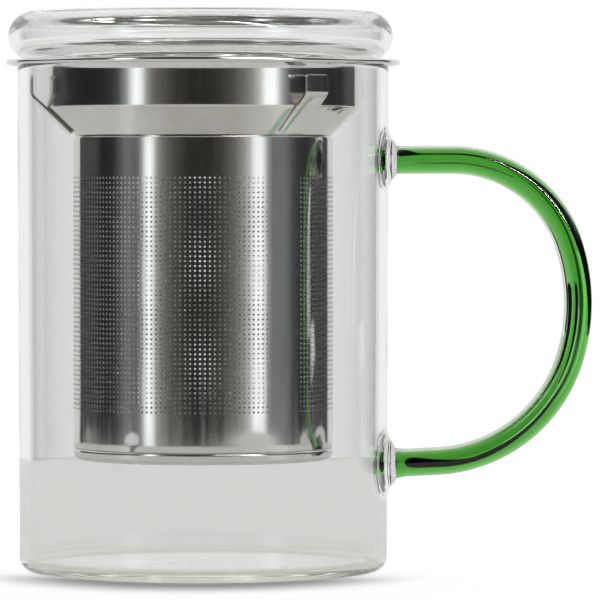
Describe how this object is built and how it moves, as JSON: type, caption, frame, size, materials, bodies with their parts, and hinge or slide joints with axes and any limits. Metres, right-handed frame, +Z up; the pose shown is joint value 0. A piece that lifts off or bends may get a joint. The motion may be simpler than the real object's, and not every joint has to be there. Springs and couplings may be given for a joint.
{
  "type": "lidded tea mug with infuser",
  "caption": "Straight-sided clear glass tea mug with a fused green glass rod handle, a perforated steel lift-out infuser and a hollow glass lid.",
  "frame": {"origin": "centre of the circle that the mug stands on", "axes": "+Z up, along the mug's own axis; +X towards the handle; -Y towards the viewer"},
  "size_m": [0.1269, 0.0854, 0.1212],
  "materials": {
    "clear_glass": "clear, fire-polished",
    "green_glass": "transparent green, fire-polished",
    "polished_steel": "bright drawn stainless steel",
    "perforated_steel": "bright rolled sheet with fine round holes"
  },
  "bodies": {
    "mug": {"mug_body": "clear_glass", "handle_root_upper": "clear_glass", "handle_root_lower": "clear_glass", "handle": "green_glass"},
    "infuser": {"infuser_neck": "polished_steel", "infuser_wall": "perforated_steel", "infuser_base": "polished_steel", "centring_tab_1": "polished_steel", "centring_tab_2": "polished_steel", "centring_tab_3": "polished_steel"},
    "lid": {"lid": "clear_glass"}
  },
  "joints": [
    {"name": "infuser_lift", "type": "slide", "parent": "mug", "child": "infuser", "axis": [0, 0, 1], "range_m": [0, 0.095]},
    {"name": "lid_lift", "type": "slide", "parent": "infuser", "child": "lid", "axis": [0, 0, 1], "range_m": [0, 0.03]}
  ]
}
